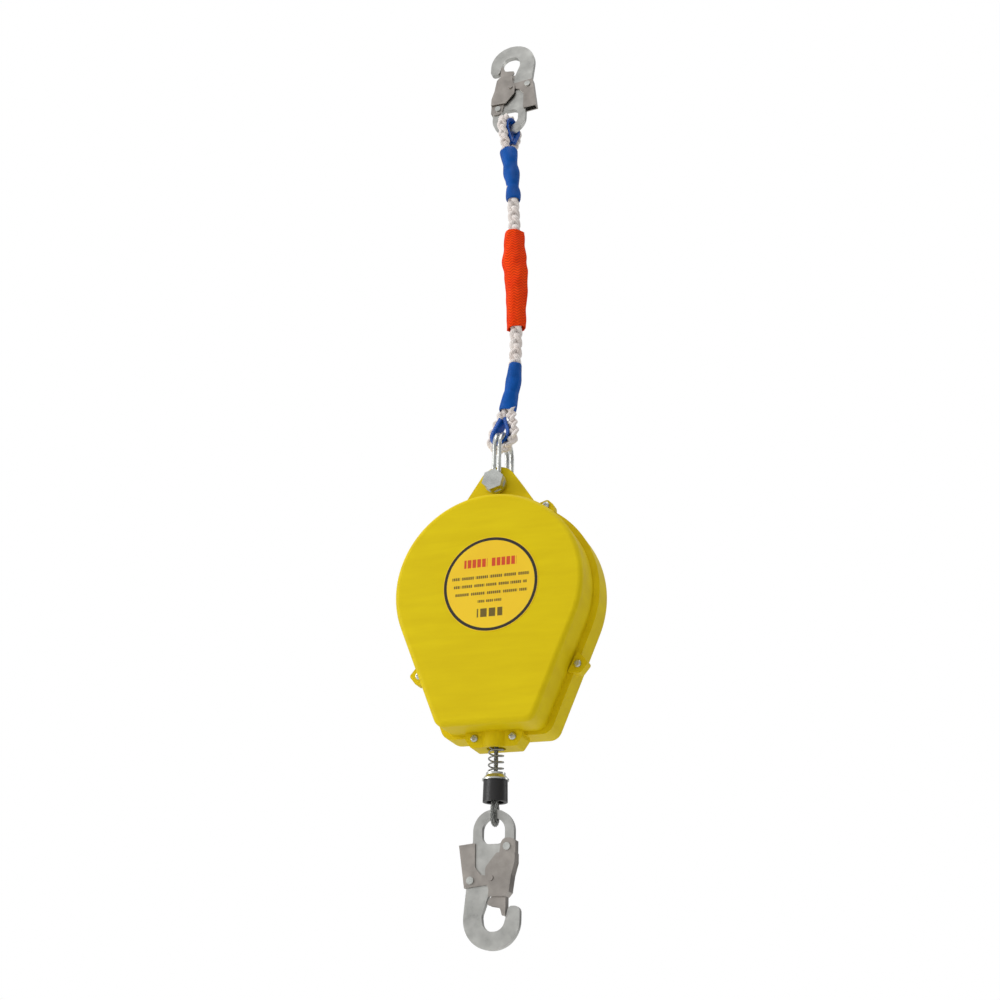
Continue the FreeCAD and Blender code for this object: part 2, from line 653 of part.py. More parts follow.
# ---------------------------------------------------------------- load frame
JOGGLE_LOW = 86.5
JOGGLE_HIGH = 94.5
NECK_Y = 6.0
frame_outline = [
    (-15.0, BOLT_RISE + 15.0, 14.6), (15.0, BOLT_RISE + 15.0, 14.6), (14.0, 60.0, 20.0), (25.0, 28.0, 15.0),
    (25.0, -136.0, 6.0), (-30.0, -136.0, 6.0), (-25.0, 28.0, 15.0), (-14.0, 60.0, 20.0),
]
spacer_spots = [(17.0, -112.0), (17.0, -128.0)]
for name, side in (("frame_plate_front", -1), ("frame_plate_rear", 1)):
    low = FRAME_Y + FRAME_T
    high = NECK_Y + FRAME_T
    points = [(-low, -140.0), (-low, JOGGLE_LOW), (-high, JOGGLE_HIGH), (-high, 140.0)]
    profile = strip(points, -FRAME_T)
    wire = Part.makePolygon([V(-60, side * -y, z) for y, z, _ in profile + profile[:1]])
    sheet = Part.Face(wire).extrude(V(120, 0, 0))
    sheet = sheet.common(plate(frame_outline, -40, 40))
    for x, z, radius in [(0, BOLT_RISE, 10.0), (0, 0, SHAFT_R), (ROLLER_X, ROLLER_Z, 3.0)]:
        sheet = sheet.cut(rod(x, z, radius, -40, 40))
    for x, z in spacer_spots:
        sheet = sheet.cut(rod(x, z, 2.0, -40, 40))
    save(name, in_housing(sheet))

spacers = [ring(x, z, 4.5, 2.0, -FRAME_Y, FRAME_Y) for x, z in spacer_spots]
save("frame_spacers", in_housing(Part.makeCompound(spacers)))
ties = []
for x, z in spacer_spots:
    tie = rod(x, z, 2.0, -FRAME_Y - FRAME_T, FRAME_Y + FRAME_T)
    for side in (-1, 1):
        y0 = side * (FRAME_Y + FRAME_T)
        tie = tie.fuse(rod(x, z, 3.5, min(y0, y0 + side * 2.0), max(y0, y0 + side * 2.0)))
    ties.append(tie)
save("frame_ties", in_housing(Part.makeCompound(ties)))
save("lug_bush", in_housing(ring(0, BOLT_RISE, 10.0, BOLT_R + RUNNING, LUG_FRONT_Y - 1.4, LUG_REAR_Y + 1.4)))

# ---------------------------------------------------------------- drum, shaft, spring
shaft = rod(0, 0, SHAFT_R, -31.0, 31.0)
for y in (-30.5, 29.3):
    shaft = shaft.cut(ring(0, 0, SHAFT_R + 1, SHAFT_R - 0.6, y, y + 1.2))
save("drum_shaft", in_housing(shaft))
clips = [ring(0, 0, SHAFT_R + 2.6, SHAFT_R - 0.6, y, y + 1.2) for y in (-30.5, 29.3)]
save("shaft_clips", in_housing(Part.makeCompound(clips)))

WEB_FRONT = -4.5
WEB_REAR = -1.5
flange_t = 2.0
drum = [
    ring(0, 0, HUB_R, HUB_BORE_R, -DRUM_HALF, DRUM_HALF),
    ring(0, 0, HUB_BORE_R, 9.0, WEB_FRONT, WEB_REAR),
    ring(0, 0, 13.0, 9.0, -8.0, -0.5),
    ring(0, 0, FLANGE_R, HUB_R - 1, -DRUM_HALF, -DRUM_HALF + flange_t),
    ring(0, 0, FLANGE_R, HUB_R - 1, DRUM_HALF - flange_t, DRUM_HALF),
]
drum = fuse(drum)
pawl_spots = [(0.0, PAWL_PIVOT_R), (0.0, -PAWL_PIVOT_R)]
for x, z in pawl_spots:
    drum = drum.cut(rod(x, z, 3.0, -10, 10))
save("cable_drum", in_housing(drum))
save("drum_bush", in_housing(ring(0, 0, 9.0, SHAFT_R + RUNNING, -8.0, -0.5)))
save("wound_cable", in_housing(ring(0, 0, COIL_R, HUB_R, -DRUM_HALF + flange_t, DRUM_HALF - flange_t)))
cover = ring(0, 0, HUB_BORE_R, 11.6, 17.2, DRUM_HALF)
save("spring_cover", in_housing(cover))
pins = [rod(x, z, 3.0, -17.5, WEB_REAR) for x, z in pawl_spots]
save("pawl_pins", in_housing(Part.makeCompound(pins)))
springs = [coil(V(x, -11.2, z), V(0, 1, 0), 4.4, 0.5, 5.4, 4) for x, z in pawl_spots]
save("pawl_springs", in_housing(Part.makeCompound(springs)))


def spiral_spring(inner, outer, turns, thickness, y0, y1):
    """Flat spiral of half circles about two centres a half pitch apart."""
    pitch = (outer - inner) / turns
    edges_in = []
    edges_out = []
    x = -inner
    side = 1
    for _ in range(int(2 * turns)):
        span = abs(x) + abs(x) + pitch / 2
        end = x + side * span
        middle_x = (x + end) / 2
        radius = span / 2
        height = side * radius
        edges_in.append(Part.Arc(V(x, y0, 0), V(middle_x, y0, height), V(end, y0, 0)).toShape())
        grown = radius + thickness
        edges_out.append(Part.Arc(V(middle_x - side * grown, y0, 0), V(middle_x, y0, side * grown),
                                  V(middle_x + side * grown, y0, 0)).toShape())
        x = end
        side = -side
    start_cap = Part.LineSegment(edges_in[0].valueAt(edges_in[0].FirstParameter),
                                 edges_out[0].valueAt(edges_out[0].FirstParameter)).toShape()
    end_cap = Part.LineSegment(edges_in[-1].valueAt(edges_in[-1].LastParameter),
                               edges_out[-1].valueAt(edges_out[-1].LastParameter)).toShape()
    outline = Part.Wire(Part.__sortEdges__(edges_in + [end_cap] + edges_out + [start_cap]))
    return Part.Face(outline).extrude(V(0, y1 - y0, 0))


SPRING_TURNS = 11
spring = spiral_spring(12.4, 52.0, SPRING_TURNS, 1.2, 0.4, 16.8)
save("power_spring", in_housing(spring))
save("spring_arbor", in_housing(ring(0, 0, 11.4, SHAFT_R, 0.2, 19.5)))

# ---------------------------------------------------------------- brake and ratchet
hub = ring(0, 0, BRAKE_HUB_R, SHAFT_R, -25.5, -8.6).fuse(ring(0, 0, 24.0, SHAFT_R, -10.4, -8.6))
save("brake_hub", in_housing(hub.removeSplitter()))
discs = [ring(0, 0, 23.5, BRAKE_HUB_R, y, y + 1.5) for y in (-11.95, -17.55)]
save("friction_discs", in_housing(Part.makeCompound(discs)))
teeth = []
for i in range(TEETH):
    for radius, offset in ((TOOTH_ROOT_R, 0.0), (TOOTH_TIP_R, 0.4)):
        angle = math.radians(TOOTH_PHASE_DEG + 360.0 / TEETH * i + offset)
        teeth.append((radius * math.cos(angle), radius * math.sin(angle), 0))
ratchet = plate(teeth, -16.0, -12.0).cut(rod(0, 0, BRAKE_HUB_R + RUNNING, -20, 0))
save("ratchet_wheel", in_housing(ratchet))
save("pressure_plate", in_housing(ring(0, 0, 23.5, BRAKE_HUB_R, -19.6, -17.6)))
cone = Part.makeCone(21.0, 15.0, 1.6, V(0, -19.6, 0), V(0, -1, 0))
cone = cone.cut(Part.makeCone(20.0, 14.0, 1.6, V(0, -18.9, 0), V(0, -1, 0)))
cone = cone.cut(rod(0, 0, BRAKE_HUB_R, -25, -10))
save("disc_spring", in_housing(cone))
save("brake_nut", in_housing(hexagon(34.0, -25.4, -21.3).cut(rod(0, 0, BRAKE_HUB_R, -30, -10))))

ahead_angle = math.radians(119.0)
tip = (-20.5, 23.0)
tip_back = (tip[0] + 5.5 * math.cos(ahead_angle), tip[1] + 5.5 * math.sin(ahead_angle))
pawl_corners = [
    (tip[0], tip[1], 0), (-2.0, 36.6, 3.0), (9.0, 36.4, 3.0), (20.5, 39.5, 3.0), (19.0, 46.5, 3.0),
    (3.0, 48.2, 5.0),
    (-6.0, 47.0, 4.0), (tip_back[0], tip_back[1], 0),
]
for name, turn in (("pawl_upper", 0.0), ("pawl_lower", 180.0)):
    pawl = plate(pawl_corners[::-1], -15.9, -12.1).cut(rod(0, PAWL_PIVOT_R, 3.0 + RUNNING, -20, 0))
    pawl.rotate(V(0, 0, 0), V(0, 1, 0), turn)
    save(name, in_housing(pawl))

# ---------------------------------------------------------------- cable run, guide roller and outlet bush
roller = Part.makeCylinder(ROLLER_R + 2.2, 10.0, V(ROLLER_X, -5.0, ROLLER_Z), V(0, 1, 0))
groove = Part.makeTorus(ROLLER_R + CABLE_R, CABLE_R + 0.1, V(ROLLER_X, 0, ROLLER_Z), V(0, 1, 0))
roller = roller.cut(groove)
mouth = ring(ROLLER_X, ROLLER_Z, ROLLER_R + 4.0, ROLLER_R + CABLE_R - 0.2, -CABLE_R - 0.1, CABLE_R + 0.1)
roller = roller.cut(mouth).fuse([rod(ROLLER_X, ROLLER_Z, 5.0, -FRAME_Y + 0.1, -4.9),
                                 rod(ROLLER_X, ROLLER_Z, 5.0, 4.9, FRAME_Y - 0.1)])
roller = roller.cut(rod(ROLLER_X, ROLLER_Z, 3.0 + RUNNING, -30, 30)).removeSplitter()
save("guide_roller", in_housing(roller))
save("roller_pin", in_housing(rod(ROLLER_X, ROLLER_Z, 3.0, -31.0, 31.0)))

gap = math.hypot(ROLLER_X, ROLLER_Z)
bend_r = ROLLER_R + CABLE_R
cross_angle = math.asin((RUN_R + bend_r) / gap)
heading = math.atan2(ROLLER_Z, ROLLER_X) + cross_angle
hx = math.cos(heading)
hz = math.sin(heading)
leave = V(RUN_R * hz, 0, -RUN_R * hx)
meet = V(ROLLER_X - bend_r * hz, 0, ROLLER_Z + bend_r * hx)
bend_angle = (math.atan2(hx, -hz)) / 2
middle = V(ROLLER_X + bend_r * math.cos(bend_angle), 0, ROLLER_Z + bend_r * math.sin(bend_angle))
run_end = V(0, 0, ROLLER_Z)
edges = [
    Part.LineSegment(leave, meet).toShape(),
    Part.Arc(meet, middle, run_end).toShape(),
    Part.LineSegment(run_end, V(0, 0, -143.0)).toShape(),
]
cable_run = sweep(edges, CABLE_R)
save("cable_run", in_housing(cable_run))
guide = Part.makeCylinder(GUIDE_R, 8.0, V(0, 0, GUIDE_END))
guide = guide.cut(Part.makeCylinder(CABLE_R + 0.3, 12.0, V(0, 0, GUIDE_END - 2.0)))
guide = guide.cut(Part.makeCone(4.2, CABLE_R + 0.3, 2.5, V(0, 0, GUIDE_END)))
save("cable_guide", in_housing(guide))
save("cable_stretch", in_housing(Part.makeCylinder(CABLE_R, 9.0, V(0, 0, -152.0))))

# ---------------------------------------------------------------- cable end
eye_centre = -239.5 + 13.9
leg_y = WIRE_THIMBLE_R + WIRE_THIMBLE_T + CABLE_R
pair_y = CABLE_R + 0.05


def wire_points(side):
    return [V(0, side * pair_y, -197.0), V(0, side * pair_y, FERRULE_END + 1.0), V(0, side * leg_y, -217.5),
            V(0, side * leg_y, eye_centre)]


tail = []
main = route_edges([V(0, 0, -152.0), V(0, 0, -184.0), V(0, -pair_y, -192.5), V(0, -pair_y, -199.0)])
tail.append(sweep(main, CABLE_R))
for side in (-1, 1):
    tail.append(sweep(route_edges(wire_points(side)), CABLE_R))
bottom = [Part.Arc(V(0, -leg_y, eye_centre), V(0, 0, eye_centre - leg_y), V(0, leg_y, eye_centre)).toShape()]
tail.append(sweep(bottom, CABLE_R))
tail = fuse(tail)
save("cable_eye", in_housing(tail.copy()))

ferrule = box(-3.6, 3.6, -5.9, 5.9, FERRULE_END, FERRULE_TOP)
upright = [e for e in ferrule.Edges if abs(e.BoundBox.ZLength - (FERRULE_TOP - FERRULE_END)) < 1e-4]
ferrule = ferrule.makeFillet(2.8, upright).cut(tail)
save("ferrule", in_housing(ferrule))

wire_thimble = Part.makeCylinder(WIRE_THIMBLE_R + WIRE_THIMBLE_T, 5.6, V(-2.8, 0, eye_centre), V(1, 0, 0))
wire_thimble = wire_thimble.fuse(Part.makeBox(5.6, 2 * (WIRE_THIMBLE_R + WIRE_THIMBLE_T), 7.0,
                                              V(-2.8, -WIRE_THIMBLE_R - WIRE_THIMBLE_T, eye_centre)))
wire_thimble = wire_thimble.cut(Part.makeCylinder(WIRE_THIMBLE_R, 8.0, V(-4, 0, eye_centre), V(1, 0, 0)))
wire_thimble = wire_thimble.cut(box(-4, 4, -WIRE_THIMBLE_R, WIRE_THIMBLE_R, eye_centre, eye_centre + 9.0))
save("wire_thimble", in_housing(wire_thimble.cut(tail)))

bumper = Part.makeCone(BUMPER_R + 0.3, BUMPER_R - 0.1, BUMPER_TOP - BUMPER_END, V(0, 0, BUMPER_END))
bumper = bumper.cut(Part.makeCylinder(8.6, BUMPER_TOP - BUMPER_END - 2.0, V(0, 0, BUMPER_END)))
bumper = bumper.cut(Part.makeCylinder(4.8, 10.0, V(0, 0, BUMPER_TOP - 5.0)))
save("bumper", in_housing(bumper))

# flared steel cup over the bumper, with a seat for the buffer spring in its top
SEAT_DEPTH = 2.8
LIP_T = 1.6
FLARE_RISE = 5.5
brim = Part.makeCylinder(13.2, LIP_T, V(0, 0, BUMPER_TOP))
flare = Part.makeCone(12.8, 9.6, FLARE_RISE - LIP_T, V(0, 0, BUMPER_TOP + LIP_T))
crown = Part.makeCylinder(9.6, CAP_TOP - BUMPER_TOP - FLARE_RISE, V(0, 0, BUMPER_TOP + FLARE_RISE))
hollow = Part.makeCone(12.2, 9.0, CAP_TOP - BUMPER_TOP - SEAT_DEPTH - 1.4, V(0, 0, BUMPER_TOP))
cap = fuse([brim, flare, crown]).cut(hollow)
cap = cap.cut(Part.makeCylinder(8.5, SEAT_DEPTH + 1, V(0, 0, CAP_TOP - SEAT_DEPTH)))
cap = cap.cut(Part.makeCylinder(3.4, 12.0, V(0, 0, BUMPER_TOP - 1)))
save("spring_cap", in_housing(cap))
spring_foot = CAP_TOP - SEAT_DEPTH + SPRING_WIRE_R + 0.05
spring_head = RECESS_ROOF - SPRING_WIRE_R - 0.05
spring_length = spring_head - spring_foot
spring = coil(V(0, 0, spring_foot), V(0, 0, 1), SPRING_R, SPRING_WIRE_R, spring_length, SPRING_COILS)
save("buffer_spring", in_housing(spring))
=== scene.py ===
import bpy
import json
import math
from mathutils import Matrix, Vector, noise


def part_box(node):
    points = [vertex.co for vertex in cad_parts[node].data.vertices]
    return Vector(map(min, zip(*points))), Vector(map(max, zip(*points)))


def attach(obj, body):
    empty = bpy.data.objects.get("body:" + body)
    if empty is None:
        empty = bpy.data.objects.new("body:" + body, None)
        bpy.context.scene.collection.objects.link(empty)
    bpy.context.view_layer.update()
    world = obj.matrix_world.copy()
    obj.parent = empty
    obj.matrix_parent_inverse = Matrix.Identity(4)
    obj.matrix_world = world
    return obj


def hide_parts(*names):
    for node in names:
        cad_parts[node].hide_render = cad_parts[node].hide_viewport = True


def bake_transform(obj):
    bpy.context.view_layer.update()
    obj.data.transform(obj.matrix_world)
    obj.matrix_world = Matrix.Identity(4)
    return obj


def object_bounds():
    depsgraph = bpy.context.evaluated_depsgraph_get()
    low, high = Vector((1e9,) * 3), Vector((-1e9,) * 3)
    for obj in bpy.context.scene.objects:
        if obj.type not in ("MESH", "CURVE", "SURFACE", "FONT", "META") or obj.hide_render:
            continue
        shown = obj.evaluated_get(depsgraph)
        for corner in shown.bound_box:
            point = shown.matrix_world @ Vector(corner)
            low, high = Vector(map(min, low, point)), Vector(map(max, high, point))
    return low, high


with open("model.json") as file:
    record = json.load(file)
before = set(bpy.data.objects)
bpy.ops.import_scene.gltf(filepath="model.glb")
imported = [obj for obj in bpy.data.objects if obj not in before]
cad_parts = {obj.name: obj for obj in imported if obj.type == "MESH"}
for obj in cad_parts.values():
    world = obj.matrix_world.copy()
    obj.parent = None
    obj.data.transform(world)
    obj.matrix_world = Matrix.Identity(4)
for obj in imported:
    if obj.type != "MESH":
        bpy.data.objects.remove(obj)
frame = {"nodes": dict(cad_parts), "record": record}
NODES = frame["nodes"]
JOINTS = {j["name"]: j for j in frame["record"]["behaviour"]["joints"]}
cad_low, cad_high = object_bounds()


def at(joint):
    """A hinge's centre, in the row frame."""
    return Vector(JOINTS[joint]["pos_m"])


# ------------------------------------------------------------ places, from the frame
TOP_EYE = at("sling_swing")
LOW_LOOP = at("shackle_swing")
HUB = at("drum_turn")
HOOK_EYE = at("harness_hook_swing")
FRONT_FACE_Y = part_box("label_disc")[1].y
UP = Vector((0, 0, 1))
BACK = Vector((0, 1, 0))
RIGHT = Vector((1, 0, 0))

# rope sling, metres; the routes are the ones the CAD solids follow
ROPE_ROUTE = [(0.0, 0, -0.146), (0.007, 0, -0.213), (0.011, 0, -0.300), (0.0135, 0, -0.395),
              (0.0123, 0, -0.450), (0.005, 0, -0.488)]
UPPER_SLEEVE_ROUTE = [(-0.0004, 0, -0.1396), (0.0026, 0, -0.165), (0.0060, 0, -0.192), (0.0070, 0, -0.2139)]
LOWER_SLEEVE_ROUTE = [(0.0046, 0, -0.493), (0.0082, 0, -0.474), (0.0116, 0, -0.454), (0.0129, 0, -0.4355)]
UPPER_SPLICE_R = 0.0098
LOWER_SPLICE_R = 0.0090
UPPER_NECK_R = 0.0078
LOWER_NECK_R = 0.0077
SLEEVE_WALL = 0.0007
ROPE_R = 0.0070
LOOP_ROPE_R = 0.0053
TOP_LOOP = TOP_EYE - UP * 0.0159
TOP_LOOP_R = 0.0154
TOP_LOOP_TURN = math.radians(18)
LOW_LOOP_R = 0.0153
LOW_LOOP_TURN = math.radians(20)
THIMBLE_BASE = 0.0015
THIMBLE_FLANGE = 0.0030
THIMBLE_HALF = 0.0062
THIMBLE_TAIL_GAP = 0.0012
PLAIT_PITCH = 0.040
EYE_PLAIT_PITCH = 0.8 * PLAIT_PITCH
EYE_PLAIT_R = 1.08 * LOOP_ROPE_R
EYE_TAIL = 0.010
EYE_MOUTH = 0.004
EYE_SPREAD = 0.0030

# webbing guard
TAPE_TOP_X = 0.0094
TAPE_END_X = 0.0132
TAPE_HALF_DEPTH = 0.0094
TAPE_WALL = 0.0011

# cable end
CABLE_R = 0.00225
CABLE_LAY = 0.026
CABLE_PAIR = CABLE_R + 0.00005
WIRE_EYE_LEG = 0.0052 + CABLE_R
WIRE_EYE_RISE = 0.0139


# ------------------------------------------------------------ camera and light
def place_camera():
    """Below the case and to its right, looking up along the hanging chain."""
    target = Vector((0.0042, FRONT_FACE_Y, HUB.z))
    distance, drop = 1.3008, 0.48237
    azimuth, yaw, pitch, roll = (math.radians(a) for a in (19.66, 19.31, 23.83, 1.24))
    data = bpy.data.cameras.new("camera")
    data.lens = 49.48
    data.sensor_width = 36
    data.clip_start = 0.05
    data.clip_end = 20
    camera = bpy.data.objects.new("camera", data)
    bpy.context.collection.objects.link(camera)
    place = target + Vector((distance * math.sin(azimuth), -distance * math.cos(azimuth), -drop))
    ahead = Vector((-math.sin(yaw) * math.cos(pitch), math.cos(yaw) * math.cos(pitch), math.sin(pitch)))
    level = ahead.cross(UP).normalized()
    upright = level.cross(ahead)
    right = level * math.cos(roll) + upright * math.sin(roll)
    top = upright * math.cos(roll) - level * math.sin(roll)
    turn = Matrix((right, top, -ahead)).transposed()
    camera.matrix_world = Matrix.Translation(place) @ turn.to_4x4()
    bpy.context.scene.camera = camera


def area_light(name, place, target, size, power, colour=(1, 1, 1)):
    data = bpy.data.lights.new(name, "AREA")
    data.shape = "RECTANGLE"
    data.size, data.size_y = size
    data.energy = power
    data.color = colour
    light = bpy.data.objects.new(name, data)
    bpy.context.collection.objects.link(light)
    light.location = place
    light.rotation_mode = "QUATERNION"
    light.rotation_quaternion = (Vector(target) - Vector(place)).to_track_quat("-Z", "Y")


def place_lights():
    """White studio: a surround that dims downwards and to the right, and four soft boxes."""
    world = bpy.data.worlds.new("studio")
    world.use_nodes = True
    nodes, links = world.node_tree.nodes, world.node_tree.links
    surround = nodes["Background"]
    direction = nodes.new("ShaderNodeTexCoord")
    split = nodes.new("ShaderNodeSeparateXYZ")
    links.new(direction.outputs["Generated"], split.inputs[0])
    slant = nodes.new("ShaderNodeVectorMath")
    slant.operation = "DOT_PRODUCT"
    slant.inputs[1].default_value = (-0.55, -0.25, 0.80)
    links.new(direction.outputs["Generated"], slant.inputs[0])
    shade = nodes.new("ShaderNodeMapRange")
    shade.interpolation_type = "SMOOTHSTEP"
    for name, value in (("From Min", -0.75), ("From Max", 0.75), ("To Min", 0.08), ("To Max", 0.75)):
        shade.inputs[name].default_value = value
    links.new(slant.outputs["Value"], shade.inputs["Value"])
    surround.inputs["Color"].default_value = (1, 1, 1, 1)
    links.new(shade.outputs["Result"], surround.inputs["Strength"])
    wall = nodes.new("ShaderNodeBackground")
    wall.inputs["Color"].default_value = (1, 1, 1, 1)
    wall.inputs["Strength"].default_value = 1.0
    ray = nodes.new("ShaderNodeLightPath")
    blend = nodes.new("ShaderNodeMixShader")
    links.new(ray.outputs["Is Camera Ray"], blend.inputs["Fac"])
    links.new(surround.outputs[0], blend.inputs[1])
    links.new(wall.outputs[0], blend.inputs[2])
    links.new(blend.outputs[0], nodes["World Output"].inputs["Surface"])
    bpy.context.scene.world = world
    bpy.context.scene.view_settings.view_transform = "Standard"
    middle = (0, 0, -0.55)
    area_light("key", (-0.5, -2.1, -2.2), (0, 0, -0.6), (1.0, 1.0), 66)
    area_light("side", (-1.9, -1.3, -0.1), middle, (0.8, 1.6), 22)
    area_light("top", (0.2, -0.4, 1.4), middle, (1.0, 0.8), 12)
    area_light("rim", (1.7, 1.2, -0.1), middle, (0.6, 1.6), 7)


def lay_floor():
    mesh = bpy.data.meshes.new("floor")
    half, z = 6.0, cad_low.z - 0.40
    corners = [(-half, -half, z), (half, -half, z), (half, half, z), (-half, half, z)]
    mesh.from_pydata(corners, [], [(0, 1, 2, 3)])
    floor = bpy.data.objects.new("floor", mesh)
    bpy.context.collection.objects.link(floor)
    sheet = Shader("floor_paint")
    sheet.surface(color=(0.86, 0.86, 0.85), roughness=0.8)
    floor.data.materials.append(sheet.material)


# ------------------------------------------------------------ materials
# sockets of the Mix node when it mixes colours: factor, first colour, second colour, and the result
COLOUR_MIX_INPUTS = (0, 6, 7)
COLOUR_MIX_OUTPUT = 2


class Shader:
    """A small builder for one node material."""

    def __init__(self, name):
        self.material = bpy.data.materials.new(name)
        self.material.use_nodes = True
        self.nodes = self.material.node_tree.nodes
        self.links = self.material.node_tree.links
        self.body = self.nodes["Principled BSDF"]
        self.place = None

    def put(self, socket, value):
        """Feed a socket from another socket, a colour or a number."""
        if isinstance(value, bpy.types.NodeSocket):
            self.links.new(value, socket)
        elif isinstance(value, tuple) and socket.type == "RGBA":
            socket.default_value = (*value, 1)
        else:
            socket.default_value = value

    def coordinates(self, scale=(1, 1, 1), kind="Object", offset=(0, 0, 0)):
        source = self.nodes.new("ShaderNodeTexCoord")
        mapping = self.nodes.new("ShaderNodeMapping")
        mapping.inputs["Location"].default_value = offset
        mapping.inputs["Scale"].default_value = scale
        self.links.new(source.outputs[kind], mapping.inputs["Vector"])
        return mapping.outputs["Vector"]

    def noise(self, scale, detail=4, rough=0.5, stretch=(1, 1, 1), kind="Object"):
        node = self.nodes.new("ShaderNodeTexNoise")
        self.links.new(self.coordinates(stretch, kind), node.inputs["Vector"])
        node.inputs["Scale"].default_value = scale
        node.inputs["Detail"].default_value = detail
        node.inputs["Roughness"].default_value = rough
        return node.outputs["Fac"]

    def wave(self, scale, distortion=0, direction="X", kind="Object", stretch=(1, 1, 1)):
        node = self.nodes.new("ShaderNodeTexWave")
        node.bands_direction = direction
        self.links.new(self.coordinates(stretch, kind), node.inputs["Vector"])
        node.inputs["Scale"].default_value = scale
        node.inputs["Distortion"].default_value = distortion
        return node.outputs["Fac"]

    def math(self, operation, a, b=0.0, clamp=False):
        node = self.nodes.new("ShaderNodeMath")
        node.operation = operation
        node.use_clamp = clamp
        self.put(node.inputs[0], a)
        self.put(node.inputs[1], b)
        return node.outputs[0]

    def spread(self, value, low, high, to_low=0.0, to_high=1.0):
        node = self.nodes.new("ShaderNodeMapRange")
        self.links.new(value, node.inputs["Value"])
        limits = {"From Min": low, "From Max": high, "To Min": to_low, "To Max": to_high}
        for name, number in limits.items():
            node.inputs[name].default_value = number
        return node.outputs["Result"]

    def mix(self, factor, a, b):
        node = self.nodes.new("ShaderNodeMix")
        node.data_type = "RGBA"
        for index, value in zip(COLOUR_MIX_INPUTS, (factor, a, b)):
            self.put(node.inputs[index], value)
        return node.outputs[COLOUR_MIX_OUTPUT]

    def bump(self, height, strength, distance):
        node = self.nodes.new("ShaderNodeBump")
        node.inputs["Strength"].default_value = strength
        node.inputs["Distance"].default_value = distance
        self.links.new(height, node.inputs["Height"])
        previous = self.body.inputs["Normal"].links
        if previous:
            self.links.new(previous[0].from_socket, node.inputs["Normal"])
        self.links.new(node.outputs["Normal"], self.body.inputs["Normal"])

    def surface(self, color=None, roughness=None, metallic=None, **constants):
        names = {"Base Color": color, "Roughness": roughness, "Metallic": metallic}
        names.update({key.replace("_", " "): value for key, value in constants.items()})
        for name, value in names.items():
            if value is not None:
                self.put(self.body.inputs[name], value)


def srgb(red, green, blue):
    """Linear colour from ordinary 0 to 255 values."""
    parts = [value / 255 for value in (red, green, blue)]
    return tuple(c / 12.92 if c <= 0.04 else ((c + 0.055) / 1.055) ** 2.4 for c in parts)


def steel(name, colour, rough):
    """Plated or bare steel: blotchy plating, fine drawn streaks and small scratches."""
    s = Shader(name)
    blotch = s.noise(60, 5, 0.6)
    streaks = s.noise(900, 3, 0.6, (1, 1, 6))
    light = tuple(min(1, c * 1.12) for c in colour)
    dark = tuple(c * 0.78 for c in colour)
    s.surface(color=s.mix(s.spread(blotch, 0.3, 0.7), dark, light), metallic=1.0)
    even_shine = s.spread(blotch, 0.3, 0.7, rough - 0.05, rough + 0.06)
    s.surface(roughness=s.math("ADD", even_shine, s.spread(streaks, 0.3, 0.7, -0.05, 0.05)))
    s.bump(streaks, 0.25, 0.00008)
    s.bump(s.noise(2600, 2, 0.5), 0.12, 0.00004)
    return s.material


def yellow_plastic():
    """Moulded case plastic, satin, with faint flow marks across the face."""
    s = Shader("case_plastic")
    flow = s.noise(26, 5, 0.55, (0.5, 1, 3.2))
    cloud = s.noise(9, 3, 0.5)
    base = s.mix(s.spread(flow, 0.35, 0.65), srgb(216, 190, 4), srgb(224, 200, 8))
    base = s.mix(s.spread(cloud, 0.3, 0.7, 0, 0.35), base, srgb(212, 184, 8))
    s.surface(color=base, roughness=s.spread(flow, 0.3, 0.7, 0.44, 0.54))
    s.surface(Specular_IOR_Level=0.12)
    s.bump(s.noise(1500, 3, 0.6), 0.10, 0.00006)
    s.bump(flow, 0.10, 0.0006)
    return s.material


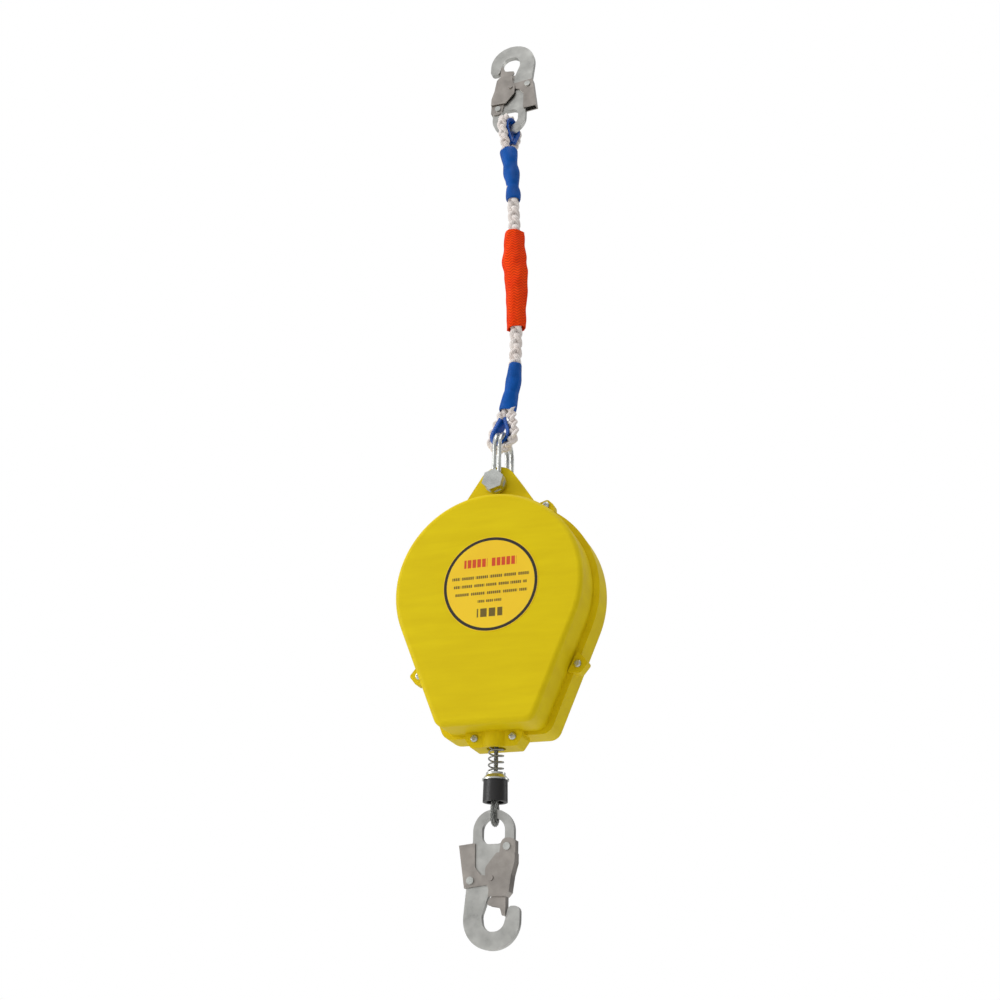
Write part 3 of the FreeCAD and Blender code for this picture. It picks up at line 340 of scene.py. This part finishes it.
def label_print():
    """Printed film: dark ring, and rows of blocks in place of words."""
    s = Shader("label_print")
    centre = (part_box("label_disc")[0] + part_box("label_disc")[1]) / 2
    place = s.coordinates((1000, 1000, 1000), offset=tuple(-1000 * c for c in centre))
    split = s.nodes.new("ShaderNodeSeparateXYZ")
    s.links.new(place, split.inputs[0])
    x, z = split.outputs["X"], split.outputs["Z"]
    length = s.nodes.new("ShaderNodeVectorMath")
    length.operation = "LENGTH"
    flat = s.nodes.new("ShaderNodeCombineXYZ")
    s.links.new(x, flat.inputs[0])
    s.links.new(z, flat.inputs[1])
    s.links.new(flat.outputs[0], length.inputs[0])
    radius = length.outputs["Value"]

    def between(value, low, high):
        above = s.math("GREATER_THAN", value, low)
        return s.math("MULTIPLY", above, s.math("LESS_THAN", value, high))

    def row(z0, z1, half_width, letter, word, shift=0.0):
        """Blocks the size of letters, with gaps between blocks and between words."""
        inside = s.math("MULTIPLY", between(z, z0, z1), between(x, -half_width + shift, half_width + shift))
        gap = s.math("FRACT", s.math("DIVIDE", s.math("ADD", x, 200.0 + z0), letter))
        space = s.math("FRACT", s.math("DIVIDE", s.math("ADD", x, 200.0 + 3 * z1), word))
        solid = s.math("MULTIPLY", s.math("GREATER_THAN", gap, 0.24), s.math("GREATER_THAN", space, 0.13))
        return s.math("MULTIPLY", inside, solid)

    ground = s.mix(s.spread(s.noise(14, 3, 0.5), 0.3, 0.7), srgb(240, 196, 4), srgb(246, 208, 14))
    red = row(18.5, 27.5, 29.0, 5.2, 31.0, 0.5)
    dark = row(6.0, 9.2, 41.0, 2.1, 15.0)
    for z0, z1, half_width, letter, word in ((-2.6, 0.4, 39.0, 2.0, 13.0), (-11.2, -8.2, 39.0, 2.1, 17.0),
                                             (-19.6, -16.8, 13.0, 2.0, 9.0)):
        dark = s.math("MAXIMUM", dark, row(z0, z1, half_width, letter, word))
    dark = s.math("MAXIMUM", dark, row(-35.0, -26.0, 13.5, 9.0, 200.0))
    ring = between(radius, 46.8, 49.9)
    ink = s.mix(s.math("MULTIPLY", red, 0.92), ground, srgb(205, 30, 10))
    ink = s.mix(s.math("MULTIPLY", dark, 0.86), ink, srgb(40, 30, 10))
    ink = s.mix(ring, ink, srgb(28, 24, 16))
    gloss = s.spread(s.noise(300, 3, 0.5), 0.3, 0.7, 0.30, 0.40)
    s.surface(color=ink, roughness=gloss, Specular_IOR_Level=0.5)
    s.bump(s.noise(500, 3, 0.5), 0.06, 0.00006)
    return s.material


def rope_fibre():
    """Twisted yarn: fine lines along each strand, fuzz, and painted shade darkening the hollows."""
    s = Shader("rope_fibre")
    yarn = s.wave(1.0, 0.6, "DIAGONAL", "UV", (6.0, 1.6, 1))
    slant = s.wave(1.0, 0.8, "DIAGONAL", "UV", (2.6, 0.9, 1))
    fuzz = s.noise(900, 5, 0.7)
    cloud = s.noise(70, 4, 0.6)
    base = s.mix(s.spread(cloud, 0.3, 0.7), srgb(224, 213, 207), srgb(246, 240, 236))
    # painted shade: the diagonal hollows between strands are darkened towards grey brown
    base = s.mix(s.spread(slant, 0.0, 1.0, 0.22, 0.0), base, srgb(150, 130, 122))
    base = s.mix(s.spread(fuzz, 0.55, 0.75, 0.0, 0.35), base, srgb(238, 232, 226))
    s.surface(color=base, roughness=0.88, Specular_IOR_Level=0.25, Sheen_Weight=0.35, Sheen_Roughness=0.5)
    s.bump(slant, 0.4, 0.0004)
    s.bump(yarn, 0.3, 0.0003)
    s.bump(fuzz, 0.35, 0.0003)
    return s.material


def blue_plastic(name, rough, base=(0, 84, 172), coat=0.25):
    """Glossy blue plastic with a little haze and fine scuffs."""
    s = Shader(name)
    cloud = s.noise(45, 4, 0.6)
    scuff = s.noise(500, 4, 0.65, (1, 1, 0.4))
    dark = tuple(int(c * 0.82) for c in base)
    colour = s.mix(s.spread(cloud, 0.3, 0.7), srgb(*dark), srgb(*base))
    colour = s.mix(s.spread(scuff, 0.62, 0.8, 0, 0.2), colour, srgb(50, 125, 205))
    s.surface(color=colour, roughness=s.spread(cloud, 0.3, 0.7, rough, rough + 0.12))
    s.surface(Specular_IOR_Level=0.15, Coat_Weight=coat, Coat_Roughness=0.25)
    s.bump(scuff, 0.12, 0.0002)
    return s.material


def webbing_weave():
    """Herringbone tubular webbing: ribs along the tape crossed by fine picks."""
    s = Shader("webbing_weave")
    split = s.nodes.new("ShaderNodeSeparateXYZ")
    s.links.new(s.coordinates(kind="UV"), split.inputs[0])
    zigzag = s.math("PINGPONG", split.outputs["X"], 0.30)
    climb = s.math("ADD", split.outputs["Y"], s.math("MULTIPLY", zigzag, 0.8))
    twill = s.spread(s.math("SINE", s.math("MULTIPLY", climb, 26.0)), -1, 1)
    ribs = s.wave(3.4, 0.0, "X", "UV")
    picks = s.wave(3.1, 0.3, "Y", "UV")
    fuzz = s.noise(1400, 4, 0.7)
    cloud = s.noise(60, 4, 0.6)
    base = s.mix(s.spread(cloud, 0.3, 0.7), srgb(240, 56, 2), srgb(252, 74, 8))
    base = s.mix(s.spread(twill, 0.0, 0.7, 0.62, 0.0), base, srgb(158, 26, 2))
    base = s.mix(s.spread(fuzz, 0.55, 0.8, 0.0, 0.25), base, srgb(250, 100, 36))
    s.surface(color=base, roughness=0.8, Specular_IOR_Level=0.1)
    s.bump(twill, 0.5, 0.0004)
    s.bump(ribs, 0.35, 0.0004)
    s.bump(picks, 0.3, 0.0002)
    s.bump(fuzz, 0.25, 0.0002)
    return s.material


def moulded(name, base, rough, grain, depth, **extra):
    """Plain moulded or sintered material with a fine grain and uneven gloss."""
    s = Shader(name)
    cloud = s.noise(80, 4, 0.6)
    fine = s.noise(grain, 4, 0.6)
    dark = tuple(c * 0.8 for c in base)
    s.surface(color=s.mix(s.spread(cloud, 0.3, 0.7), dark, base), Specular_IOR_Level=0.45, **extra)
    s.surface(roughness=s.spread(fine, 0.3, 0.7, rough - 0.05, rough + 0.07))
    s.bump(fine, depth, 0.0001)
    return s.material


def wire_strand():
    """Steel strands: bright fine wires laid across each strand, with painted shade darkening the grooves
    between them.
    """
    s = Shader("wire_strand")
    wires = s.wave(7, 0.4, "DIAGONAL", "UV", (6, 4, 1))
    # painted shade: the grooves between the wires are darkened towards dark grey
    base = s.mix(s.spread(wires, 0.15, 0.75), srgb(70, 70, 68), srgb(190, 192, 188))
    s.surface(color=base, metallic=0.9, roughness=s.spread(wires, 0, 1, 0.42, 0.26))
    s.bump(wires, 0.5, 0.0002)
    return s.material


# ------------------------------------------------------------ lines and meshes
def new_piece(name, verts, faces, uvs, material, body, node=None, slot=None):
    """A mesh piece with its material, on its body, standing for its CAD node."""
    mesh = bpy.data.meshes.new(name)
    mesh.from_pydata([tuple(v) for v in verts], [], faces)
    mesh.validate()
    layer = mesh.uv_layers.new(name="UVMap")
    for loop in mesh.loops:
        layer.data[loop.index].uv = uvs[loop.vertex_index]
    mesh.polygons.foreach_set("use_smooth", [True] * len(mesh.polygons))
    mesh.update()
    piece = bpy.data.objects.new(name, mesh)
    bpy.context.collection.objects.link(piece)
    mesh.materials.append(material)
    if node:
        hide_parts(node)
    if body:
        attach(piece, body)
    return piece


def route_line(points):
    """Points of the smooth NURBS line that has the route's points as its control points."""
    curve = bpy.data.curves.new("route", "CURVE")
    curve.dimensions = "3D"
    spline = curve.splines.new("NURBS")
    spline.points.add(len(points) - 1)
    for target, point in zip(spline.points, points):
        target.co = (*point, 1)
    spline.order_u = 3
    spline.use_endpoint_u = True
    spline.resolution_u = 16
    holder = bpy.data.objects.new("route", curve)
    bpy.context.collection.objects.link(holder)
    bpy.context.view_layer.update()
    mesh = bpy.data.meshes.new_from_object(holder)
    line = [v.co.copy() for v in mesh.vertices]
    bpy.data.objects.remove(holder)
    bpy.data.curves.remove(curve)
    bpy.data.meshes.remove(mesh)
    return line


def smooth_step(t):
    return t * t * (3 - 2 * t)


def line_length(line):
    return sum((b - a).length for a, b in zip(line, line[1:]))


def even(line, step):
    """The same line at equal steps."""
    total = line_length(line)
    count = max(2, round(total / step))
    stations = [total * i / count for i in range(count + 1)]
    out, walked, k = [], 0.0, 0
    for s in stations:
        while k < len(line) - 2 and walked + (line[k + 1] - line[k]).length < s:
            walked += (line[k + 1] - line[k]).length
            k += 1
        span = (line[k + 1] - line[k]).length
        out.append(line[k].lerp(line[k + 1], min(1, (s - walked) / span if span else 0)))
    return out


def frames(line, side):
    """(distance, point, sideways, square) along a line, carried without twist."""
    out = []
    walked = 0.0
    for i, point in enumerate(line):
        ahead = (line[min(i + 1, len(line) - 1)] - line[max(i - 1, 0)]).normalized()
        side = (side - ahead * side.dot(ahead)).normalized()
        if i:
            walked += (point - line[i - 1]).length
        out.append((walked, point, side, ahead.cross(side)))
    return out


class Skin:
    """Collects rings of points into one mesh with UVs."""

    def __init__(self):
        self.verts, self.faces, self.uvs = [], [], []

    def tube(self, rings, u_scale, v_of, caps=True):
        """Joins rings of points into a tube: u_scale is u once round, and v_of has each ring's v."""
        start, count = len(self.verts), len(rings[0])
        for i, ring in enumerate(rings):
            self.verts.extend(ring)
            self.uvs.extend((u_scale * k / count, v_of[i]) for k in range(count))
        for i in range(len(rings) - 1):
            for k in range(count):
                a, b = start + i * count + k, start + i * count + (k + 1) % count
                self.faces.append((a, b, b + count, a + count))
        if caps:
            self.faces.append(tuple(start + k for k in reversed(range(count))))
            last = start + (len(rings) - 1) * count
            self.faces.append(tuple(last + k for k in range(count)))

    def piece(self, name, material, body, **more):
        return new_piece(name, self.verts, self.faces, self.uvs, material, body, **more)


def ring_points(point, side, square, radius, count, squash=1.0):
    """A circle, or an ellipse, round a point of a line."""
    return [point + side * (radius * math.cos(a)) + square * (radius * squash * math.sin(a))
            for a in (2 * math.pi * k / count for k in range(count))]


def plait(skin, line, side, radius, pitch, phase):
    """Three thick strands braided over and under each other, so both faces show a row of Vs."""
    wide, thick = 0.52 * radius, 0.43 * radius
    sway, dip = 0.50 * radius, 0.40 * radius
    strands, around = 3, 16
    for strand in range(strands):
        rings, marks = [], []
        for s, point, a_side, square in frames(line, side):
            angle = 2 * math.pi * (s / pitch + strand / strands) + phase
            centre = point + a_side * (sway * math.sin(angle)) + square * (dip * math.sin(2 * angle))
            rings.append(ring_points(centre, a_side, square, wide, around, thick / wide))
            marks.append(s / radius)
        skin.tube(rings, 2.0, marks)


# ------------------------------------------------------------ rope sling
def eye_frame(junction, centre, plane):
    """Directions of an eye: ahead from the splice, sideways across it, and square to its plane."""
    ahead = (centre - junction).normalized()
    side = ahead.cross(plane).normalized()
    return ahead, side, side.cross(ahead)


def eye_line(junction, centre, radius, plane):
    """Route of an eye: in at one side of the splice, round the thimble, and out at the other side."""
    ahead, side, _ = eye_frame(junction, centre, plane)
    distance = (centre - junction).length
    lean = math.asin(radius / distance)
    edge = math.pi / 2 + lean
    count = 8
    step = 2 * edge / count
    away = radius / math.cos(step / 2)
    route = []
    for k in range(count):
        angle = -edge + (k + 0.5) * step
        route.append(centre + ahead * (away * math.cos(angle)) + side * (away * math.sin(angle)))
    inside = centre - ahead * (distance + EYE_TAIL)
    mouth = centre - ahead * (distance - EYE_MOUTH)
    start = [inside - side * EYE_SPREAD, mouth - side * EYE_SPREAD * 1.3]
    end = [mouth + side * EYE_SPREAD * 1.3, inside + side * EYE_SPREAD]
    return start + route + end


def thimble_section():
    """Closed section of the channel: (outward from the hole, across it), rounded lips, groove between."""
    base, lip, half = THIMBLE_BASE, THIMBLE_BASE + THIMBLE_FLANGE, THIMBLE_HALF
    round_lip = lip - 0.0006
    side = [(0.0, half - 0.0016), (0.0003, half - 0.0004), (0.0012, half), (round_lip, half + 0.0006),
            (lip, half + 0.0002), (lip, half - 0.0010), (round_lip, half - 0.0015),
            (base + 0.0012, half - 0.0019), (base + 0.0002, half - 0.0036)]
    return [(out, -across) for out, across in side] + [(base, 0.0)] + side[::-1] + [(-0.0002, 0.0)]


def thimble_piece(name, node, junction, centre, plane, radius, material):
    """Moulded thimble: a grooved channel bent round the eye, with its two tails meeting at the splice."""
    ahead, side, square = eye_frame(junction, centre, plane)
    distance = (centre - junction).length
    lean = math.asin(radius / distance)
    edge = math.pi / 2 + lean
    inner = radius - LOOP_ROPE_R - THIMBLE_BASE
    line = []
    tail_reach = distance * math.cos(lean) - (LOOP_ROPE_R + THIMBLE_BASE) / math.tan(lean) - THIMBLE_TAIL_GAP
    steps = 44
    leg = 7
    for k in range(leg):
        line.append((-edge, tail_reach * (1 - k / leg)))
    line += [(-edge + 2 * edge * k / steps, 0.0) for k in range(steps + 1)]
    for k in range(1, leg + 1):
        line.append((edge, tail_reach * k / leg))
    section = thimble_section()
    rings = []
    for angle, back in line:
        outward = ahead * math.cos(angle) + side * math.sin(angle)
        along = (ahead * -math.sin(angle) + side * math.cos(angle)) * math.copysign(1, angle)
        foot = centre + outward * inner + along * back
        rings.append([foot + outward * o + square * a for o, a in section])
    skin = Skin()
    skin.tube(rings, 1.0, [k * 0.1 for k in range(len(rings))])
    return skin.piece(name, material, "sling", node=node, slot="thimble_blue")


def sleeve_piece(name, node, route, splice_r, rope_r, material):
    """Shrunk sleeve drawn tight on a splice, so the humps below show through it."""
    line = even(route_line(route), 0.0012)
    total = line_length(line)
    around = 56
    turned_in = 3
    turn = 2 * math.pi / PLAIT_PITCH
    edge_curl, curl_reach = 0.0007, 0.0012
    strand_hump, swell, sink, wrinkle = 0.0006, 0.0011, 0.0006, 0.0005
    rings, inner = [], []
    for s, point, side, square in frames(line, RIGHT):
        base = splice_r + (rope_r - splice_r) * smooth_step(s / total)
        edge = min(s, total - s)
        curl = edge_curl * math.exp(-(edge / curl_reach) ** 2)
        ring, under = [], []
        for k in range(around):
            a = 2 * math.pi * k / around
            oval = strand_hump * math.cos(2 * a + 0.6) * math.cos(1.2 * turn * s)
            bulge = swell * abs(math.sin(0.62 * turn * s + 0.9)) ** 0.8 - sink
            ripple = wrinkle * noise.noise(point * 90 + Vector((math.cos(a), math.sin(a), 0)) * 1.4)
            r = base + (oval + bulge) + ripple - curl
            direction = side * math.cos(a) + square * math.sin(a)
            ring.append(point + direction * r)
            under.append(point + direction * (r - SLEEVE_WALL))
        rings.append(ring)
        inner.append(under)
    skin = Skin()
    loop = inner[:turned_in][::-1] + rings + inner[-turned_in:][::-1]
    skin.tube(loop, 3.0, [k * 0.03 for k in range(len(loop))], caps=False)
    return skin.piece(name, material, "sling", node=node, slot="sleeve_blue")


def make_sling():
    """Braided rope with an eye at each end, the eyes' thimbles and the sleeves over the splices."""
    fibre = rope_fibre()
    junction_top = Vector(ROPE_ROUTE[0])
    junction_low = Vector(ROPE_ROUTE[-1])
    top_plane = Vector((math.cos(TOP_LOOP_TURN), -math.sin(TOP_LOOP_TURN), 0))
    low_plane = Vector((math.sin(LOW_LOOP_TURN), math.cos(LOW_LOOP_TURN), 0))
    # the span between the splices
    span = even(route_line(ROPE_ROUTE), 0.0016)
    skin = Skin()
    plait(skin, span, RIGHT, ROPE_R, PLAIT_PITCH, 0.5)
    rope = skin.piece("rope_span", fibre, "sling", node="sling_rope", slot="rope")
    # one eye at each end
    eyes = (("rope_eye_top", junction_top, TOP_LOOP, TOP_LOOP_R, top_plane),
            ("rope_eye_low", junction_low, LOW_LOOP, LOW_LOOP_R, low_plane))
    for name, junction, centre, radius, plane in eyes:
        line = even(route_line(eye_line(junction, centre, radius, plane)), 0.0013)
        broad = plane if name == "rope_eye_top" else eye_frame(junction, centre, plane)[1]
        skin = Skin()
        plait(skin, line, broad, EYE_PLAIT_R, EYE_PLAIT_PITCH, 0.2)
        eye = skin.piece(name, fibre, "sling", slot="rope")
    gloss = blue_plastic("thimble_plastic", 0.25, (4, 82, 178), 0.4)
    thimble_piece("thimble_top", "upper_thimble", junction_top, TOP_LOOP, top_plane, TOP_LOOP_R, gloss)
    thimble_piece("thimble_low", "lower_thimble", junction_low, LOW_LOOP, low_plane, LOW_LOOP_R, gloss)
    shrink = blue_plastic("shrunk_sleeve", 0.42, coat=0.0)
    sleeve_piece("sleeve_top", "upper_sleeve", UPPER_SLEEVE_ROUTE, UPPER_SPLICE_R, UPPER_NECK_R, shrink)
    sleeve_piece("sleeve_low", "lower_sleeve", LOWER_SLEEVE_ROUTE, LOWER_SPLICE_R, LOWER_NECK_R, shrink)


# ------------------------------------------------------------ webbing guard
def tape_outline(t):
    """Half width of the flattened tape tube and its sideways shift, from its top (0) to its bottom (1)."""
    stations = ((0.0, 0.0118, -0.0006), (0.14, 0.0131, -0.0009), (0.32, 0.0149, -0.0014),
                (0.45, 0.0144, 0.0010), (0.62, 0.0131, 0.0012), (0.82, 0.0116, 0.0005),
                (1.0, 0.0115, 0.0001))
    for (t0, half0, shift0), (t1, half1, shift1) in zip(stations, stations[1:]):
        if t <= t1:
            u = smooth_step((t - t0) / (t1 - t0))
            return half0 + (half1 - half0) * u, shift0 + (shift1 - shift0) * u
    return stations[-1][1:]


def make_webbing():
    """Tubular webbing guard: a flat tape tube with crisp side folds, kinked where the rope pushes it."""
    low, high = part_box("webbing_guard")
    top = Vector((TAPE_TOP_X, 0, high.z))
    end = Vector((TAPE_END_X, 0, low.z))
    down = (end - top).normalized()
    across = (RIGHT - down * RIGHT.dot(down)).normalized()
    length = (end - top).length
    rows, around, turned_in = 110, 72, 24
    outer, inner = [], []
    for i in range(rows + 1):
        t = i / rows
        half_x, shift = tape_outline(t)
        half_y = TAPE_HALF_DEPTH - 0.0012 * abs(2 * t - 1) ** 3
        centre = top + down * (length * t) + across * shift
        ring, under = [], []
        for k in range(around):
            a = 2 * math.pi * k / around
            c, sn = math.cos(a), math.sin(a)
            crease = noise.noise(Vector((c * 2.2, sn * 1.2, t * 9.0))) * 0.0011
            belly = math.copysign(1 - abs(c) ** 2.4, sn) if k % (around // 2) else 0.0
            uneven = 0.0006 * noise.noise(Vector((c * 4, sn * 4, t)))
            slope = down * (0.0018 * (1 + c) * (1 - t) ** 6 + uneven)
            point = centre + across * (c * (half_x + crease)) + BACK * (belly * (half_y + crease)) + slope
            ring.append(point)
            under.append(point - (point - centre).normalized() * TAPE_WALL)
        outer.append(ring)
        inner.append(under)
    skin = Skin()
    loop = inner[:turned_in][::-1] + outer + inner[-turned_in:][::-1]
    skin.tube(loop, 6.0, [k * 0.08 for k in range(len(loop))], caps=False)
    skin.piece("webbing_tube", webbing_weave(), "webbing", node="webbing_guard", slot="webbing_orange")


# ------------------------------------------------------------ cable end
def wire_rope(skin, line):
    """Six strands laid round a straight core."""
    strands, around, mark = 6, 8, 0.006
    strand_r = CABLE_R / 3
    for strand in range(strands + 1):
        away = 0 if strand == strands else CABLE_R - strand_r
        rings, marks = [], []
        for s, point, side, square in frames(line, RIGHT):
            a = 2 * math.pi * (s / CABLE_LAY + strand / strands)
            centre = point + (side * math.cos(a) + square * math.sin(a)) * away
            rings.append(ring_points(centre, side, square, strand_r * 1.03, around))
            marks.append(s / mark)
        skin.tube(rings, 1.0, marks)


def make_cable_line(material):
    """Straight stretch from the outlet to the ferrule, built at one fixed length."""
    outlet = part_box("cable_guide")[0].z
    ferrule_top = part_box("ferrule")[1].z
    route = [(0, 0, z) for z in (outlet + 0.004, outlet - 0.015, outlet - 0.030, ferrule_top - 0.004)]
    line = even(route_line(route), 0.0010)
    skin = Skin()
    wire_rope(skin, line)
    stretch = skin.piece("cable_line", material, None, node="cable_stretch", slot="wire_cable")
    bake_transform(stretch)


def make_cable_loop(material):
    """Eye round the wire thimble, with both ends up inside the bumper."""
    bumper_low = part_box("bumper")[0].z
    centre_z = HOOK_EYE.z + WIRE_EYE_RISE
    ferrule_z, mouth_z, below_z = bumper_low + 0.0145, bumper_low + 0.004, bumper_low - 0.006
    route = [(0, -CABLE_PAIR, ferrule_z), (0, -CABLE_PAIR, mouth_z), (0, -WIRE_EYE_LEG, below_z)]
    count = 6
    away = WIRE_EYE_LEG / math.cos(math.pi / count / 2)
    for k in range(count):
        a = math.pi + math.pi * (k + 0.5) / count
        route.append((0, away * math.cos(a), centre_z + away * math.sin(a)))
    route += [(0, WIRE_EYE_LEG, below_z), (0, CABLE_PAIR, mouth_z), (0, CABLE_PAIR, ferrule_z)]
    line = even(route_line(route), 0.0010)
    skin = Skin()
    wire_rope(skin, line)
    eye = skin.piece("cable_loop", material, "cable_end", node="cable_eye", slot="wire_cable")


# ------------------------------------------------------------ CAD nodes that keep their shape
def dress(material, *names):
    """Gives CAD nodes a material."""
    for name in names:
        slots = NODES[name].data.materials
        slots.clear()
        slots.append(material)


def dress_nodes(strand_steel):
    """Materials of every CAD node that no piece stands for."""
    satin = steel("satin_steel", srgb(190, 190, 186), 0.34)
    plated = steel("zinc_plate", srgb(205, 207, 203), 0.28)
    grey = steel("gate_steel", srgb(168, 162, 156), 0.36)
    spring = steel("spring_wire", srgb(150, 150, 146), 0.30)
    dark = steel("hardened_steel", srgb(96, 92, 88), 0.40)
    dress(satin, "anchor_hook_plate", "harness_hook_plate")
    dress(plated, "anchor_hook_rivets", "harness_hook_rivets", "housing_screws", "lug_bolt", "lug_nut",
          "bolt_washers", "shackle_link", "spring_cap", "wire_thimble", "frame_plate_front",
          "frame_plate_rear", "frame_spacers", "frame_ties", "roller_pin", "pawl_pins", "pressure_plate",
          "brake_nut", "brake_hub", "drum_shaft", "spring_arbor")
    dress(grey, "anchor_gate", "harness_gate", "anchor_lock_lever", "harness_lock_lever")
    dress(spring, "anchor_gate_spring", "harness_gate_spring", "anchor_lever_spring",
          "harness_lever_spring", "pawl_springs", "power_spring", "disc_spring", "buffer_spring")
    dress(dark, "ratchet_wheel", "pawl_upper", "pawl_lower", "shaft_clips", "ferrule")
    dress(yellow_plastic(), "front_shell", "rear_shell")
    dress(label_print(), "label_disc")
    rubber = moulded("bumper_rubber", srgb(34, 33, 34), 0.42, 700, 0.3)
    cast = moulded("cast_aluminium", srgb(176, 178, 180), 0.45, 500, 0.3, Metallic=0.9)
    lining = moulded("brake_lining", srgb(88, 76, 60), 0.85, 1200, 0.5)
    bronze = moulded("bronze", srgb(176, 132, 70), 0.38, 900, 0.2, Metallic=1.0)
    nylon = moulded("nylon", srgb(222, 219, 208), 0.40, 900, 0.1)
    dress(rubber, "bumper")
    dress(cast, "cable_drum", "spring_cover")
    dress(lining, "friction_discs")
    dress(bronze, "lug_bush", "drum_bush")
    dress(nylon, "guide_roller", "cable_guide")
    dress(strand_steel, "wound_cable", "cable_run")


place_camera()
place_lights()
lay_floor()
make_sling()
strand_steel = wire_strand()
make_cable_line(strand_steel)
make_cable_loop(strand_steel)
make_webbing()
dress_nodes(strand_steel)
